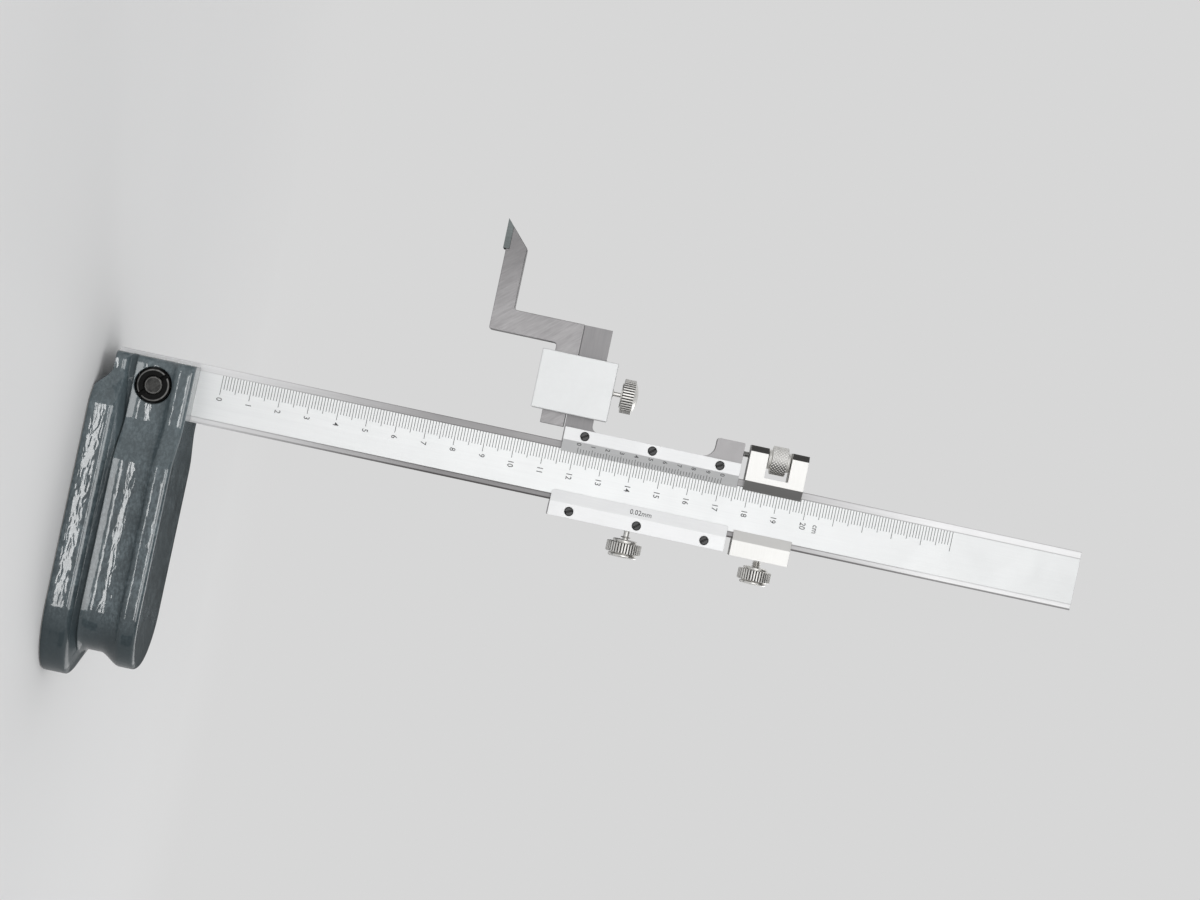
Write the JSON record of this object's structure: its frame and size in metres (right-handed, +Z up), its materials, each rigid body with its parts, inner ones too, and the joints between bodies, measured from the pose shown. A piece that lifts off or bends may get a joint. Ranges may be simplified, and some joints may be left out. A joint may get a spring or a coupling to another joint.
{
  "type": "height gauge",
  "caption": "Vernier height gauge: graduated steel beam on a cast base, slider with fine adjustment, and a clamped offset scriber.",
  "frame": {"origin": "on the ground underside of the base, midway between its sides and 60 mm behind the beam's edge at the nose", "axes": "+Z up along the beam, +X towards the base's heel (scriber points to -X), scale face towards -Y"},
  "size_m": [0.1806, 0.0458, 0.3323],
  "materials": {
    "hammered_paint": "glossy slate-blue hammered paint over cast iron",
    "satin_steel": "satin, lightly brushed along its length",
    "ground_steel": "ground, fine diagonal marks",
    "plate_chrome": "satin chrome",
    "black_oxide": "black oxide",
    "bright_nickel": "bright nickel with dark knurl grooves",
    "carbide": "dark grey ground carbide"
  },
  "bodies": {
    "stand": {"base_casting": "hammered_paint", "beam": "satin_steel", "beam_stud": "black_oxide", "beam_nut": "black_oxide"},
    "slider": {"slider_frame": "ground_steel", "vernier_plate": "plate_chrome", "guide_plate": "plate_chrome", "vernier_screw_1": "black_oxide", "vernier_screw_2": "black_oxide", "vernier_screw_3": "black_oxide", "guide_screw_1": "black_oxide", "guide_screw_2": "black_oxide", "guide_screw_3": "black_oxide", "slider_gib": "ground_steel", "fine_adjust_rod": "ground_steel"},
    "slider_clamp": {"slider_clamp_screw": "bright_nickel"},
    "carriage": {"fine_adjust_block": "satin_steel", "carriage_gib": "ground_steel"},
    "carriage_clamp": {"carriage_clamp_screw": "bright_nickel"},
    "fine_nut": {"fine_adjust_nut": "bright_nickel"},
    "clamp_box": {"scriber_clamp_box": "plate_chrome"},
    "box_clamp": {"box_clamp_screw": "bright_nickel"},
    "scriber": {"scriber_body": "ground_steel", "scriber_tip": "carbide"}
  },
  "joints": [
    {"name": "slider_slide", "type": "slide", "parent": "stand", "child": "slider", "axis": [0, 0, 1], "range_m": [-0.1212, 0.0788]},
    {"name": "slider_clamp_turn", "type": "hinge", "parent": "slider", "child": "slider_clamp", "pos_m": [-0.035, 0, 0.1818], "axis": [1, 0, 0], "range_deg": [0, 720]},
    {"name": "fine_slide", "type": "slide", "parent": "slider", "child": "carriage", "axis": [0, 0, 1], "range_m": [-0.0018, 0.004]},
    {"name": "carriage_clamp_turn", "type": "hinge", "parent": "carriage", "child": "carriage_clamp", "pos_m": [-0.0343, 0, 0.2266], "axis": [1, 0, 0], "range_deg": [0, 720]},
    {"name": "fine_nut_turn", "type": "hinge", "parent": "carriage", "child": "fine_nut", "pos_m": [-0.0685, 0.0006, 0.22685], "axis": [0, 0, 1], "range_deg": [-1300, 2885]},
    {"name": "box_slide", "type": "slide", "parent": "slider", "child": "clamp_box", "axis": [1, 0, 0], "range_m": [-0.01, 0.0015]},
    {"name": "box_clamp_turn", "type": "hinge", "parent": "clamp_box", "child": "box_clamp", "pos_m": [-0.07905, 0.00195, 0.1674], "axis": [0, 0, 1], "range_deg": [0, 720]},
    {"name": "scriber_slide", "type": "slide", "parent": "clamp_box", "child": "scriber", "axis": [1, 0, 0], "range_m": [-0.012, 0.0015]}
  ],
  "couplings": [
    {"joint": "fine_nut_turn", "follows": "fine_slide", "rad_per_m": 12566}
  ]
}
